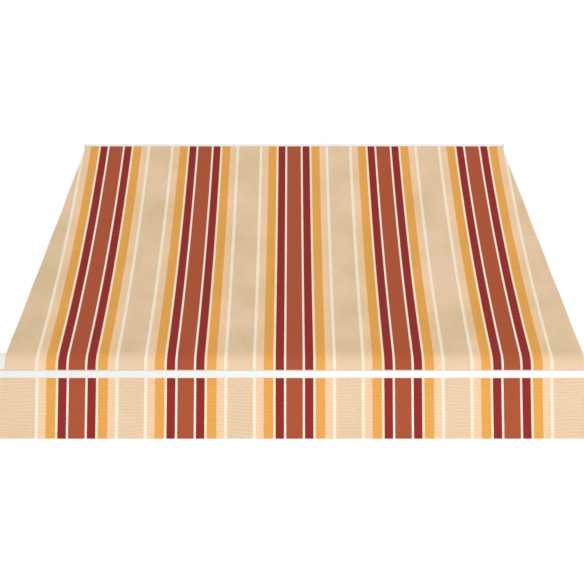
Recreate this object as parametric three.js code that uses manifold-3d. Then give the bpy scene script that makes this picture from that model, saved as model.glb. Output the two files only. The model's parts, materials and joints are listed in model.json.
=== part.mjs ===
// A window awning with a lift-up frame. A striped cloth, cut wider at the front than at the wall, hangs
// from a wall rail down to an extruded front bar. Two arms carry the bar. They are hinged to the wall
// under the rail, with a clamp knob at each hinge, and swing up with the bar to fold the awning away.
// The bar turns on a pin at the end of each arm, so it stays upright, and a valance hangs from its foot.

import * as THREE from "three";
import { mergeVertices } from "three/addons/utils/BufferGeometryUtils.js";
import Module from "manifold-3d";

const wasm = await Module();
wasm.setup();

// Sizes are in millimetres. X runs along the wall, -Y points away from it and +Z is up. The origin is
// the middle of the wall rail's back face. A profile is drawn with x as the distance out from the wall
// and y as the height.

// Canopy and valance
const HEAD_WIDTH = 1875; // canopy across the wall rail
const FRONT_WIDTH = 2132; // canopy across the front bar
const EDGE_BOW = 16; // how far the side hems bow out at half length
const CANOPY_SAG = 40; // how far the cloth hangs below a taut line
const CLOTH_THICKNESS = 0.6;
const HEM_WIDTH = 25;
const HEM_STEP = 1.5; // the slope from one cloth layer to two
const VALANCE_DROP = 222; // below the front bar
const VALANCE_SETIN = 2; // from each end of the front bar
const CANOPY_ROWS = 6;
const NOSE_ROWS = 10;

// The stripes of one repeat, from the middle of the terracotta to the middle of the beige
const TERRACOTTA_WIDTH = 60;
const WHITE_WIDTH = 8;
const WINE_WIDTH = 31;
const CREAM_WIDTH = 9;
const GOLD_WIDTH = 35;
const SAND_WIDTH = 28;
const IVORY_WIDTH = 12;
const BEIGE_WIDTH = 94;
const HALF_REPEAT = [
  { colour: 0xb1583b, width: TERRACOTTA_WIDTH / 2 },
  { colour: 0xfff3e8, width: WHITE_WIDTH },
  { colour: 0x96322f, width: WINE_WIDTH },
  { colour: 0xffedd0, width: CREAM_WIDTH },
  { colour: 0xefac59, width: GOLD_WIDTH },
  { colour: 0xfbd5af, width: SAND_WIDTH },
  { colour: 0xfff0dc, width: IVORY_WIDTH },
  { colour: 0xefd1b0, width: BEIGE_WIDTH / 2 },
];

// Keder: the round cord along a cloth edge, and the channel that holds it
const KEDER_DIAMETER = 7;
const CHANNEL_PLAY = 1; // between keder and channel wall
const CHANNEL_WALL = 2;
const SLIT_PLAY = 1.2; // beside two layers of cloth

// Wall rail
const RAIL_HEIGHT = 44;
const RAIL_PLATE = 3;
const RAIL_OVERHANG = 5; // beyond the cloth, at each end
const RAIL_CAP_THICKNESS = 3;
const RAIL_SCREW_COUNT = 6;
const RAIL_SCREW_HOLE = 6.5;
const RAIL_SCREW_END = 120; // from the rail's end to its first hole
const RAIL_SCREW_DROP = 8; // below the rail's middle

// Front bar
const BAR_DEPTH = 50;
const BAR_HEIGHT = 93;
const BAR_WALL = 2.2;
const BAR_NOSE_RADIUS = 75;
const BAR_NOSE_RISE = 5.6; // from the canopy's slit to where the nose starts to curve back
const BAR_EDGE_RADIUS = 4;
const BAR_FACE = 29; // plain face between the canopy's slit and the foot
const SLIT_LIP_RADIUS = 4; // rounding of the face below the slit
const BAR_OVERHANG = 22; // beyond the canopy, at each end
const VALANCE_SETBACK = 12; // from the bar's front face
const BAR_CAP_THICKNESS = 3;
const BAR_CAP_PLUG = 12;

// Arms
const ARM_REACH = 733; // hinge axis to bar pin axis
const ARM_HEIGHT = 40;
const ARM_WIDTH = 20;
const ARM_WALL = 2;
const ARM_CORNER_RADIUS = 4;
const ARM_INSET = 95; // from the front bar's end to the arm's middle
const HUB_NECK = 44; // hinge axis to the tube
const EYE_RADIUS = 16;
const EYE_NECK = 40; // bar pin axis to the tube
const TENON_LENGTH = 45; // of a casting inside the tube
const RIVET_DIAMETER = 5;
const RIVET_HEAD_DIAMETER = 9;
const RIVET_HEAD = 1.6;

// Hinges on the wall
const HINGE_OUT = 45; // wall to hinge axis
const HINGE_DROP = 1015; // rail's middle down to hinge axis
const BRACKET_PLATE = 6;
const BRACKET_WIDTH = 64;
const BRACKET_HEIGHT = 136;
const BRACKET_HOLE = 9;
const BRACKET_HOLE_SPACING_X = 44;
const BRACKET_HOLE_SPACING_Z = 112;
const CHEEK_THICKNESS = 5;
const CHEEK_RADIUS = 22;
const CHEEK_ROOT_UP = 30; // height of a cheek's root above the axis
const CHEEK_ROOT_DOWN = 45;
const STOP_PIN_DIAMETER = 8;
const STOP_PIN_OUT = 34; // from the hinge axis
const STOP_PIN_COLLAR = 5; // cheek metal round the stop pin
const PIVOT_DIAMETER = 10;
const PIVOT_HEAD_DIAMETER = 20;
const PIVOT_HEAD = 5;
const PIVOT_WASHER_DIAMETER = 30;
const WASHER_THICKNESS = 1.2;

// Clamp knobs
const KNOB_DIAMETER = 50;
const KNOB_LOBE = 4; // depth of the hollows between lobes, from the middle line
const KNOB_LOBES = 5;
const KNOB_THICKNESS = 14;
const KNOB_COLLAR_DIAMETER = 22;
const KNOB_COLLAR = 6;
const KNOB_THREAD = 15; // length of the bolt inside the knob

// Brackets and pins on the front bar
const BAR_PIN_BEHIND = 34; // pin axis behind the bar's back face
const BAR_PIN_UP = 28; // pin axis above the bar's foot
const BAR_BRACKET_PLATE = 4;
const BAR_BRACKET_HEIGHT = 52;
const BAR_EAR_THICKNESS = 4;
const BAR_EAR_RADIUS = 12;
const BAR_PIN_DIAMETER = 8;
const BAR_PIN_HEAD_DIAMETER = 13;
const BAR_PIN_HEAD = 2.5;
const BAR_PIN_TAIL = 5; // beyond the ear
const BAR_PIN_GROOVE = 1; // depth
const BAR_WASHER_DIAMETER = 24;
const CLIP_DIAMETER = 14;
const CLIP_THICKNESS = 1;
const SCREW_DIAMETER = 5;
const SCREW_HEAD_DIAMETER = 9;
const SCREW_HEAD = 3;
const SCREW_SPACING = 38;
const SCREW_LENGTH = 13;

const FIT = 0.3; // gap between pieces that touch, and round pins in their holes

// Places that several pieces share
const keder = KEDER_DIAMETER / 2;
const channel = keder + CHANNEL_PLAY;
const channelRing = channel + CHANNEL_WALL;
const slit = 2 * CLOTH_THICKNESS + SLIT_PLAY;
const railLength = HEAD_WIDTH + 2 * RAIL_OVERHANG;
const railChannel = point(RAIL_PLATE + channelRing, RAIL_HEIGHT / 2 - channelRing);
const barLength = FRONT_WIDTH + 2 * BAR_OVERHANG;
const barBack = HINGE_OUT + ARM_REACH + BAR_PIN_BEHIND;
const barFront = barBack + BAR_DEPTH;
const barFoot = -HINGE_DROP - BAR_PIN_UP;
const barTop = barFoot + BAR_HEIGHT;
const canopyChannel = point(barFront - channelRing, barFoot + BAR_FACE + slit / 2);
const noseStart = Math.max(canopyChannel.y + slit / 2 + BAR_NOSE_RISE, barTop - BAR_NOSE_RADIUS);
const nose = point(barFront - BAR_NOSE_RADIUS, noseStart);
const noseEnd = THREE.MathUtils.radToDeg(Math.asin((barTop - nose.y) / BAR_NOSE_RADIUS)); // at the flat top
const valanceChannel = point(barFront - VALANCE_SETBACK, barFoot + channelRing);
const valanceWidth = barLength - 2 * VALANCE_SETIN;
const plugFront = valanceChannel.x - channelRing - FIT;
const armX = barLength / 2 - ARM_INSET;
const armGap = ARM_WIDTH + 2 * (WASHER_THICKNESS + 2 * FIT); // between cheeks, and between ears
const cheekOutside = armGap / 2 + CHEEK_THICKNESS;
const earOutside = armGap / 2 + BAR_EAR_THICKNESS;
const washerX = (ARM_WIDTH + WASHER_THICKNESS) / 2 + FIT;
const stopPin = point(STOP_PIN_OUT, -ARM_HEIGHT / 2 - FIT - STOP_PIN_DIAMETER / 2);
const rivetOut = TENON_LENGTH / 2; // from the tube's end

// Points and outlines

function point(x, y) {
  return new THREE.Vector2(x, y);
}

// The unit vector at an angle in degrees.
function heading(angle) {
  const a = THREE.MathUtils.degToRad(angle);
  return point(Math.cos(a), Math.sin(a));
}

function arc(centre, radius, from, to, steps) {
  return Array.from({ length: steps + 1 }, (_, i) =>
    heading(from + ((to - from) * i) / steps).multiplyScalar(radius).add(centre),
  );
}

function circle(centre, radius, steps) {
  return arc(centre, radius, 0, 360 * (1 - 1 / steps), steps - 1);
}

function rectangle(left, right, bottom, top) {
  return [point(left, bottom), point(right, bottom), point(right, top), point(left, top)];
}

// Radii go round from the bottom left corner, anticlockwise.
function rounded(left, right, bottom, top, radii, steps) {
  const corners = rectangle(left, right, bottom, top);
  const inward = [point(1, 1), point(-1, 1), point(-1, -1), point(1, -1)];
  return corners.flatMap((corner, i) => {
    const centre = corner.clone().addScaledVector(inward[i], radii[i]);
    return arc(centre, radii[i], 180 + 90 * i, 270 + 90 * i, steps);
  });
}

// A strip of the given width that runs out from a point at an angle.
function strip(start, angle, length, width) {
  const along = heading(angle).multiplyScalar(length);
  const aside = heading(angle + 90).multiplyScalar(width / 2);
  return [
    start.clone().sub(aside),
    start.clone().sub(aside).add(along),
    start.clone().add(aside).add(along),
    start.clone().add(aside),
  ];
}

// Geometry

function extruded(outline, length, holes) {
  const shape = new THREE.Shape(outline);
  shape.holes = holes.map((hole) => new THREE.Path(hole));
  return new THREE.ExtrudeGeometry(shape, { depth: length, bevelEnabled: false });
}

// A prism whose outline is a profile, centred on x = 0.
function prism(outline, length, holes = []) {
  const geometry = extruded(outline, length, holes);
  const turn = new THREE.Matrix4().makeBasis(
    new THREE.Vector3(0, -1, 0),
    new THREE.Vector3(0, 0, 1),
    new THREE.Vector3(-1, 0, 0),
  );
  return geometry.applyMatrix4(turn).translate(length / 2, 0, 0);
}

// A prism that runs out from the wall. Its outline has x along the wall and y as the height.
function prismOut(outline, from, to, holes = []) {
  return extruded(outline, to - from, holes).rotateX(Math.PI / 2).translate(0, -from, 0);
}

// A body of revolution along X, from pairs of radius and x that start and end on the axis.
function turned(profile, steps) {
  const points = profile.map(([radius, x]) => point(radius, x));
  return new THREE.LatheGeometry(points, steps).rotateZ(-Math.PI / 2);
}

// A hole or a rod through a wall, out from the wall.
function boreOut(radius, from, to, steps) {
  return new THREE.CylinderGeometry(radius, radius, to - from, steps).translate(0, -(from + to) / 2, 0);
}

function solidOf(geometry) {
  const bare = geometry.clone();
  bare.deleteAttribute("normal");
  bare.deleteAttribute("uv");
  const merged = mergeVertices(bare, 1e-4);
  return new wasm.Manifold(
    new wasm.Mesh({
      numProp: 3,
      vertProperties: merged.getAttribute("position").array,
      triVerts: new Uint32Array(merged.index.array),
    }),
  );
}

function geometryOf(solid) {
  const mesh = solid.getMesh();
  const indexed = new THREE.BufferGeometry()
    .setAttribute("position", new THREE.BufferAttribute(mesh.vertProperties, mesh.numProp))
    .setIndex(new THREE.BufferAttribute(mesh.triVerts, 1));
  const faceted = indexed.toNonIndexed();
  faceted.computeVertexNormals();
  return faceted;
}

function join(...geometries) {
  return geometryOf(geometries.map(solidOf).reduce((whole, piece) => whole.add(piece)));
}

function cut(geometry, ...tools) {
  return geometryOf(tools.map(solidOf).reduce((left, tool) => left.subtract(tool), solidOf(geometry)));
}

function washer(outerDiameter, boreDiameter, thickness, steps) {
  const bore = circle(point(0, 0), boreDiameter / 2 + FIT, steps);
  return prism(circle(point(0, 0), outerDiameter / 2, steps), thickness, [bore]);
}

// Cloth

// Where the canopy leaves the rail and meets the bar's nose, and its angles below level there. It meets
// the nose where it lies along it, or else at the edge of the bar's flat top.
function canopyRun() {
  const overNose = BAR_NOSE_RADIUS + FIT + 1.5 * CLOTH_THICKNESS;
  const run = { headAngle: 45, frontAngle: 45 };
  for (let pass = 0; pass < 12; pass += 1) {
    run.head = heading(-run.headAngle).multiplyScalar(channelRing).add(railChannel);
    run.noseAngle = Math.min(90 - run.frontAngle, noseEnd);
    run.front = heading(run.noseAngle).multiplyScalar(overNose).add(nose);
    run.chord = run.front.clone().sub(run.head);
    const slope = THREE.MathUtils.radToDeg(Math.atan2(-run.chord.y, run.chord.x));
    const bend = THREE.MathUtils.radToDeg(Math.atan((4 * CANOPY_SAG) / run.chord.length()));
    run.below = heading(-slope - 90);
    run.headAngle = slope + bend;
    run.frontAngle = slope - bend;
  }
  run.overNose = overNose;
  return run;
}

// A keder is pulled against its slit.
function kederSeat(channelCentre, slitAngle) {
  return heading(slitAngle).multiplyScalar(CHANNEL_PLAY - FIT).add(channelCentre);
}

// The canopy's middle line in profile, with its half width at each point.
function canopyLine(run) {
  const seam = keder + FIT;
  const line = [
    {
      at: heading(-run.headAngle).multiplyScalar(seam).add(kederSeat(railChannel, -run.headAngle)),
      half: HEAD_WIDTH / 2,
    },
  ];
  for (let row = 0; row <= CANOPY_ROWS; row += 1) {
    const t = row / CANOPY_ROWS;
    const hump = 4 * t * (1 - t);
    line.push({
      at: run.head.clone().addScaledVector(run.chord, t).addScaledVector(run.below, CANOPY_SAG * hump),
      half: THREE.MathUtils.lerp(HEAD_WIDTH, FRONT_WIDTH, t) / 2 + EDGE_BOW * hump,
    });
  }
  const overNose = arc(nose, run.overNose, run.noseAngle, 0, NOSE_ROWS).slice(1);
  const slitMouth = point(overNose.at(-1).x, canopyChannel.y);
  const slitEnd = kederSeat(canopyChannel, 0).add(point(seam, 0));
  [...overNose, slitMouth, slitEnd].forEach((at) => line.push({ at, half: FRONT_WIDTH / 2 }));
  return line;
}

function valanceLine() {
  const top = kederSeat(valanceChannel, -90).y - keder - FIT;
  const bottom = barFoot - VALANCE_DROP;
  const heights = [top, bottom + HEM_WIDTH + HEM_STEP, bottom + HEM_WIDTH, bottom];
  return heights.map((height, row) => ({
    at: point(valanceChannel.x, height),
    half: valanceWidth / 2,
    hemmed: row > 1,
  }));
}

// The stripes' edges and their colours, out from the middle of the cloth. The last runs on to the hem.
function stripesTo(half) {
  const stripes = [];
  const turns = [HALF_REPEAT, [...HALF_REPEAT].reverse()];
  const halfRepeat = HALF_REPEAT.reduce((sum, { width }) => sum + width, 0);
  const turnCount = Math.max(1, Math.floor(half / halfRepeat));
  for (let edge = 0, turn = 0; turn < turnCount; turn++) {
    turns[turn % 2].forEach(({ colour, width }) => {
      edge += width;
      stripes.push({ edge, colour });
    });
  }
  return stripes;
}

// The x of each vertex across one row: the cloth's edges, its hems and the stripes between them.
function columns(half, stripes) {
  const hems = [half, half - HEM_WIDTH, half - HEM_WIDTH - HEM_STEP];
  const edges = stripes
    .map(({ edge }) => edge)
    .filter((edge) => edge < half && hems.every((hem) => Math.abs(hem - edge) > HEM_STEP));
  const right = [...edges, ...hems];
  return [...right, ...right.map((x) => -x)].sort((a, b) => a - b);
}

// Triangles between two rows of columns that need not match, facing down.
function zip(near, far) {
  const faces = [];
  for (let n = 0, f = 0; n < near.length - 1 || f < far.length - 1; ) {
    if (f === far.length - 1 || (n < near.length - 1 && near[n + 1].x <= far[f + 1].x)) {
      faces.push([near[n], near[n + 1], far[f]]);
      n += 1;
    } else {
      faces.push([near[n], far[f + 1], far[f]]);
      f += 1;
    }
  }
  return faces;
}

// A closed sheet along a line, with doubled hems under its sides and the vertices coloured by stripe.
function cloth(line) {
  const stripes = stripesTo(Math.max(...line.map(({ half }) => half)) + 1);
  const normals = line.map(({ at }, row) => {
    const before = at.clone().sub(line[Math.max(row - 1, 0)].at).normalize();
    const after = line[Math.min(row + 1, line.length - 1)].at.clone().sub(at).normalize();
    const sides = [before, after].filter((way) => way.length() > 0).map((way) => point(-way.y, way.x));
    const mean = sides.reduce((sum, side) => sum.add(side), point(0, 0));
    return mean.multiplyScalar(2 / (mean.lengthSq() || 1)).multiplyScalar(sides.length / 2);
  });
  const rows = line.map(({ at, half, hemmed }, row) => {
    const place = (x, lift) => {
      const { x: out, y: up } = at.clone().addScaledVector(normals[row], lift);
      return new THREE.Vector3(x, -out, up);
    };
    const across = columns(half, stripes);
    const inHem = (x) => hemmed || Math.abs(x) > half - HEM_WIDTH - HEM_STEP / 2;
    return {
      top: across.map((x) => place(x, CLOTH_THICKNESS / 2)),
      under: across.map((x) => place(x, -CLOTH_THICKNESS * (inHem(x) ? 1.5 : 0.5))),
    };
  });
  const faces = [];
  const flip = ([a, b, c]) => [a, c, b];
  const wall = (a, b, c, d) => faces.push([a, b, c], [a, c, d]);
  rows.slice(1).forEach((far, i) => {
    const near = rows[i];
    faces.push(...zip(near.under, far.under), ...zip(near.top, far.top).map(flip));
    wall(near.under[0], far.under[0], far.top[0], near.top[0]);
    wall(near.top.at(-1), far.top.at(-1), far.under.at(-1), near.under.at(-1));
  });
  rows[0].top.slice(1).forEach((to, i) => {
    wall(rows[0].under[i], rows[0].top[i], to, rows[0].under[i + 1]);
  });
  const last = rows.at(-1);
  last.top.slice(1).forEach((to, i) => wall(last.top[i], last.under[i], last.under[i + 1], to));
  return striped(faces, stripes);
}

function striped(faces, stripes) {
  const colours = [];
  faces.forEach((face) => {
    const x = Math.abs(face.reduce((sum, vertex) => sum + vertex.x, 0) / 3);
    const { colour } = stripes.find(({ edge }) => edge >= x) ?? stripes.at(-1);
    const { r, g, b } = new THREE.Color(colour);
    face.forEach(() => colours.push(r, g, b));
  });
  const geometry = new THREE.BufferGeometry().setFromPoints(faces.flat());
  geometry.setAttribute("color", new THREE.Float32BufferAttribute(colours, 3));
  geometry.computeVertexNormals();
  return geometry;
}

// Wall rail

function railOutline() {
  const lip = railChannel.y - channelRing;
  return [
    point(0, -RAIL_HEIGHT / 2),
    point(RAIL_PLATE, -RAIL_HEIGHT / 2),
    point(RAIL_PLATE, lip),
    ...arc(railChannel, channelRing, -90, 90, 8),
    point(0, RAIL_HEIGHT / 2),
  ];
}

function headRail(run) {
  const through = railLength + 2;
  const pitch = (railLength - 2 * RAIL_SCREW_END) / (RAIL_SCREW_COUNT - 1);
  const holes = Array.from({ length: RAIL_SCREW_COUNT }, (_, i) =>
    boreOut(RAIL_SCREW_HOLE / 2, -1, RAIL_PLATE + 1, 10).translate(
      RAIL_SCREW_END + i * pitch - railLength / 2,
      0,
      -RAIL_SCREW_DROP,
    ),
  );
  return cut(
    prism(railOutline(), railLength),
    prism(circle(railChannel, channel, 14), through),
    prism(strip(railChannel, -run.headAngle, 2 * channelRing, slit), through),
    ...holes,
  );
}

// Front bar

// The bar's whole section, or the same shape further in, as a prism. The nose takes off its front corner.
function barBlock(inset, length) {
  const edge = BAR_EDGE_RADIUS - inset;
  const sides = [barBack + inset, barFront - inset, barFoot + inset, barTop - inset];
  const block = prism(rounded(...sides, [edge, edge, edge, edge], 6), length);
  const above = nose.y + BAR_NOSE_RADIUS + 1;
  const round = arc(nose, BAR_NOSE_RADIUS - inset, 0, 90, 20);
  const corner = [point(nose.x, above), point(barFront + 1, above), point(barFront + 1, nose.y)];
  return cut(block, prism([...round, ...corner], length + 2));
}

function screwHeights() {
  return [-SCREW_SPACING / 2, SCREW_SPACING / 2].map((up) => up - HINGE_DROP);
}

// What the rounding of the slit's lower lip takes away.
function lipWaste() {
  const lip = point(barFront, canopyChannel.y - slit / 2);
  const corner = lip.clone().sub(point(SLIT_LIP_RADIUS, SLIT_LIP_RADIUS));
  return [
    ...arc(corner, SLIT_LIP_RADIUS, 0, 90, 4),
    point(corner.x, lip.y + slit / 4),
    point(lip.x + 1, lip.y + slit / 4),
    point(lip.x + 1, corner.y),
  ];
}

function frontBar() {
  const through = barLength + 2;
  const shell = cut(barBlock(0, barLength), barBlock(BAR_WALL, through));
  const rings = [canopyChannel, valanceChannel].map((at) => prism(circle(at, channelRing, 14), barLength));
  const screws = [-armX, armX].flatMap((x) =>
    screwHeights().map((z) =>
      boreOut(SCREW_DIAMETER / 2 + FIT, barBack - 1, barBack + BAR_WALL + 1, 10).translate(x, 0, z),
    ),
  );
  return cut(
    join(shell, ...rings),
    ...[canopyChannel, valanceChannel].map((at) => prism(circle(at, channel, 14), through)),
    prism(strip(canopyChannel, 0, 2 * channelRing, slit), through),
    prism(lipWaste(), through),
    prism(strip(valanceChannel, -90, 2 * channelRing, slit), through),
    ...screws,
  );
}

// The plug points to +X from the cap's inner face at x = 0, and fills the hollow behind the channels.
function barCap() {
  const hollow = barBlock(BAR_WALL + FIT, BAR_CAP_PLUG + 1);
  const channels = rectangle(plugFront, barFront, barFoot, barTop);
  const plug = cut(hollow, prism(channels, BAR_CAP_PLUG + 3));
  return join(
    barBlock(0, BAR_CAP_THICKNESS).translate(-BAR_CAP_THICKNESS / 2, 0, 0),
    plug.translate((BAR_CAP_PLUG - 1) / 2, 0, 0),
  );
}

// Arms. Each piece is drawn from its own pin axis, with the arm running out from the wall.

// The tube's section, or the same shape further in.
function armSection(inset) {
  const radius = ARM_CORNER_RADIUS - inset;
  const halfWidth = ARM_WIDTH / 2 - inset;
  const halfHeight = ARM_HEIGHT / 2 - inset;
  const radii = [radius, radius, radius, radius];
  return rounded(-halfWidth, halfWidth, -halfHeight, halfHeight, radii, 2);
}

function armTube() {
  const length = ARM_REACH - HUB_NECK - EYE_NECK - 2 * FIT;
  const tube = prismOut(armSection(0), 0, length, [armSection(ARM_WALL)]);
  const rivetHole = circle(point(0, 0), RIVET_DIAMETER / 2 + FIT, 8);
  const holes = [rivetOut, length - rivetOut].map((out) =>
    prism(rivetHole, ARM_WIDTH + 2).translate(0, -out, 0),
  );
  return cut(tube, ...holes);
}

// A casting with a round end on the pin axis, a neck out to the tube, and a tenon inside the tube.
function armEnd(radius, boreDiameter, neck) {
  const half = ARM_HEIGHT / 2;
  const body = [...arc(point(0, 0), radius, 90, 270, 10), point(neck, -half), point(neck, half)];
  const tenon = prismOut(armSection(ARM_WALL + FIT), neck - 1, neck + TENON_LENGTH);
  const rivet = circle(point(neck + FIT + rivetOut, 0), RIVET_DIAMETER / 2 + FIT, 8);
  return cut(
    join(prism(body, ARM_WIDTH), tenon),
    prism(circle(point(0, 0), boreDiameter / 2 + FIT, 14), ARM_WIDTH + 2),
    prism(rivet, ARM_WIDTH + 2),
  );
}

function armRivet() {
  const face = ARM_WIDTH / 2 + FIT;
  const head = RIVET_HEAD_DIAMETER / 2;
  const shank = RIVET_DIAMETER / 2;
  const profile = [
    [0, -face - RIVET_HEAD],
    [head * 0.7, -face - RIVET_HEAD],
    [head, -face - RIVET_HEAD * 0.3],
    [head, -face],
    [shank, -face],
    [shank, face],
    [head, face],
    [head, face + RIVET_HEAD * 0.3],
    [head * 0.7, face + RIVET_HEAD],
    [0, face + RIVET_HEAD],
  ];
  return turned(profile, 8);
}

// Wall hinges, drawn from the wall at the height of the hinge axis

// The angle at which a straight edge touches two circles on their upper side.
function beltAngle(from, fromRadius, to, toRadius) {
  const way = to.clone().sub(from);
  const lean = Math.asin((fromRadius - toRadius) / way.length());
  return THREE.MathUtils.radToDeg(way.angle() + lean - 1.5 * Math.PI);
}

function wallBracket() {
  const axis = point(HINGE_OUT, 0);
  const stop = stopPin.clone().add(axis);
  const collar = STOP_PIN_DIAMETER / 2 + STOP_PIN_COLLAR;
  const belt = beltAngle(axis, CHEEK_RADIUS, stop, collar);
  const cheek = [
    point(BRACKET_PLATE / 2, -CHEEK_ROOT_DOWN),
    ...arc(stop, collar, -90, belt, 6),
    ...arc(axis, CHEEK_RADIUS, belt, 90, 6),
    point(BRACKET_PLATE / 2, CHEEK_ROOT_UP),
  ];
  const cheekX = armGap / 2 + CHEEK_THICKNESS / 2;
  const holes = [-0.5, 0.5].flatMap((i) =>
    [-0.5, 0.5].map((j) =>
      boreOut(BRACKET_HOLE / 2, -1, BRACKET_PLATE + 1, 10).translate(
        i * BRACKET_HOLE_SPACING_X,
        0,
        j * BRACKET_HOLE_SPACING_Z,
      ),
    ),
  );
  return cut(
    join(
      prism(rectangle(0, BRACKET_PLATE, -BRACKET_HEIGHT / 2, BRACKET_HEIGHT / 2), BRACKET_WIDTH),
      prism(cheek, CHEEK_THICKNESS).translate(cheekX, 0, 0),
      prism(cheek, CHEEK_THICKNESS).translate(-cheekX, 0, 0),
    ),
    prism(circle(axis, PIVOT_DIAMETER / 2 + FIT, 14), BRACKET_WIDTH + 2),
    prism(circle(stop, STOP_PIN_DIAMETER / 2 + FIT, 10), BRACKET_WIDTH + 2),
    ...holes,
  );
}

// The head is at +X, outside the cheek, and the threaded end at -X takes the knob.
function pivotBolt() {
  const face = cheekOutside + FIT;
  const head = PIVOT_HEAD_DIAMETER / 2;
  const shank = PIVOT_DIAMETER / 2;
  return turned(
    [
      [0, -face - KNOB_THREAD],
      [shank - 1, -face - KNOB_THREAD],
      [shank, -face - KNOB_THREAD + 1],
      [shank, face],
      [head, face],
      [head * 0.9, face + PIVOT_HEAD * 0.45],
      [head * 0.6, face + PIVOT_HEAD * 0.85],
      [0, face + PIVOT_HEAD],
    ],
    14,
  );
}

// The collar's face is at x = 0, and the knob's body is at -X.
function clampKnob() {
  const steps = 6 * KNOB_LOBES;
  const grip = circle(point(0, 0), 1, steps).map((ray, i) => {
    const wave = Math.cos((i / steps) * KNOB_LOBES * 2 * Math.PI);
    return ray.multiplyScalar(KNOB_DIAMETER / 2 - KNOB_LOBE + KNOB_LOBE * wave);
  });
  const boreDepth = KNOB_THREAD + 1;
  return cut(
    join(
      prism(grip, KNOB_THICKNESS).translate(-KNOB_COLLAR - KNOB_THICKNESS / 2, 0, 0),
      prism(circle(point(0, 0), KNOB_COLLAR_DIAMETER / 2, 16), KNOB_COLLAR + 1).translate(
        -(KNOB_COLLAR + 1) / 2,
        0,
        0,
      ),
    ),
    prism(circle(point(0, 0), PIVOT_DIAMETER / 2 + FIT, 14), 2 * boreDepth),
  );
}

// Brackets and pins on the front bar, drawn from the bar pin axis

function barBracket() {
  const face = BAR_PIN_BEHIND - FIT;
  const half = BAR_BRACKET_HEIGHT / 2;
  const root = face - BAR_BRACKET_PLATE / 2;
  const ear = [...arc(point(0, 0), BAR_EAR_RADIUS, 90, 270, 10), point(root, -half), point(root, half)];
  const earX = armGap / 2 + BAR_EAR_THICKNESS / 2;
  const screws = [-0.5, 0.5].map((side) =>
    boreOut(SCREW_DIAMETER / 2 + FIT, root - BAR_BRACKET_PLATE, face + 1, 10).translate(
      0,
      0,
      side * SCREW_SPACING,
    ),
  );
  return cut(
    join(
      prism(rectangle(face - BAR_BRACKET_PLATE, face, -half, half), 2 * earOutside),
      prism(ear, BAR_EAR_THICKNESS).translate(earX, 0, 0),
      prism(ear, BAR_EAR_THICKNESS).translate(-earX, 0, 0),
    ),
    prism(circle(point(0, 0), BAR_PIN_DIAMETER / 2 + FIT, 14), 2 * earOutside + 2),
    ...screws,
  );
}

// The head is at +X. The clip sits in the groove near the -X end.
function barPin() {
  const face = earOutside + FIT;
  const shank = BAR_PIN_DIAMETER / 2;
  const head = BAR_PIN_HEAD_DIAMETER / 2;
  const grooveEnd = -face - CLIP_THICKNESS - FIT;
  return turned(
    [
      [0, -face - BAR_PIN_TAIL],
      [shank - 0.8, -face - BAR_PIN_TAIL],
      [shank, -face - BAR_PIN_TAIL + 0.8],
      [shank, grooveEnd],
      [shank - BAR_PIN_GROOVE, grooveEnd],
      [shank - BAR_PIN_GROOVE, -face + FIT],
      [shank, -face + FIT],
      [shank, face],
      [head, face],
      [head, face + BAR_PIN_HEAD * 0.7],
      [head - 1, face + BAR_PIN_HEAD],
      [0, face + BAR_PIN_HEAD],
    ],
    12,
  );
}

// A pan head screw that points out from the wall, with its head's flat face at the origin.
function barScrew() {
  const head = SCREW_HEAD_DIAMETER / 2;
  const shank = SCREW_DIAMETER / 2;
  return turned(
    [
      [0, -SCREW_HEAD],
      [head * 0.6, -SCREW_HEAD],
      [head, -SCREW_HEAD * 0.4],
      [head, 0],
      [shank, 0],
      [shank, SCREW_LENGTH - 2],
      [shank * 0.6, SCREW_LENGTH],
      [0, SCREW_LENGTH],
    ],
    10,
  ).rotateZ(-Math.PI / 2);
}

// Materials

const finishes = {
  cloth: new THREE.MeshStandardMaterial({ vertexColors: true, roughness: 0.9 }),
  keder: new THREE.MeshStandardMaterial({ color: 0xe9e6df, roughness: 0.6 }),
  profile: new THREE.MeshStandardMaterial({ color: 0xf4f4f0, roughness: 0.45 }),
  casting: new THREE.MeshStandardMaterial({ color: 0xeeeeea, roughness: 0.55 }),
  cap: new THREE.MeshStandardMaterial({ color: 0xededea, roughness: 0.5 }),
  steel: new THREE.MeshStandardMaterial({ color: 0xb9bcc0, roughness: 0.35, metalness: 1 }),
  nylon: new THREE.MeshStandardMaterial({ color: 0x8f9398, roughness: 0.6 }),
  knob: new THREE.MeshStandardMaterial({ color: 0x2b2c2e, roughness: 0.6 }),
};

// Assembly

function add(group, name, geometry, finish, x = 0, out = 0, up = 0) {
  const mesh = new THREE.Mesh(geometry, finishes[finish]);
  mesh.name = name;
  mesh.position.set(x, -out, up);
  group.add(mesh);
  return mesh;
}

function nestedGroup(parent, x, out, up) {
  const group = new THREE.Group();
  group.position.set(x, -out, up);
  parent.add(group);
  return group;
}

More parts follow.
